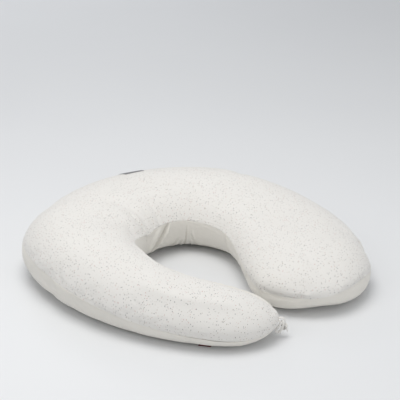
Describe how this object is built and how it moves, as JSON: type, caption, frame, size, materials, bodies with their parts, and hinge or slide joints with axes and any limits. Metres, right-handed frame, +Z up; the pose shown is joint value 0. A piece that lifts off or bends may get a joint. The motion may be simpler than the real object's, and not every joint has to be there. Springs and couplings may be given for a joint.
{
  "type": "nursing pillow",
  "caption": "Crescent nursing pillow lying flat: confetti-print upper panel over a plain lower panel, a curved zip in the outer seam, an inner cushion, and a fabric loop and knotted strap at one arm tip.",
  "frame": {"origin": "middle of the footprint, on the floor the pillow rests on", "axes": "+Z up; the open side of the crescent faces -Y and its back +Y; +X is to the right seen from the front"},
  "size_m": [0.591, 0.6228, 0.1288],
  "materials": {
    "printed_cotton": "matt woven cotton with a fine confetti print",
    "plain_cotton": "matt woven cotton",
    "ticking": "matt woven ticking",
    "filling": "loose fibre and beads",
    "thread": "sewing thread",
    "zip_tape": "woven tape",
    "zip_coil": "moulded nylon coil",
    "zip_metal": "plated die casting",
    "label_grey": "woven label, blank",
    "label_white": "satin label, blank",
    "tag_red": "woven tag, blank"
  },
  "bodies": {
    "pillow": {"upper_cover": "printed_cotton", "lower_cover": "plain_cotton", "inner_case_top": "ticking", "inner_case_bottom": "ticking", "filling": "filling", "seam_thread": "thread", "zip_tape_upper": "zip_tape", "zip_coil_upper": "zip_coil", "zip_tape_lower": "zip_tape", "zip_coil_lower": "zip_coil", "zip_stop_closed": "zip_metal", "zip_stop_open": "zip_metal", "back_label": "label_grey", "care_label": "label_white", "edge_tag": "tag_red", "tip_loop": "printed_cotton", "tip_tie": "printed_cotton"},
    "slider": {"zip_slider": "zip_metal"},
    "pull": {"zip_pull": "zip_metal"}
  },
  "joints": [
    {"name": "zip_travel", "type": "hinge", "parent": "pillow", "child": "slider", "pos_m": [-0.01027, -0.00125, 0.057], "axis": [0, 0, 1], "range_deg": [0, 70.5]},
    {"name": "pull_swing", "type": "hinge", "parent": "slider", "child": "pull", "pos_m": [0.21917, 0.2169, 0.057], "axis": [0, 0, -1], "range_deg": [0, 175]}
  ]
}
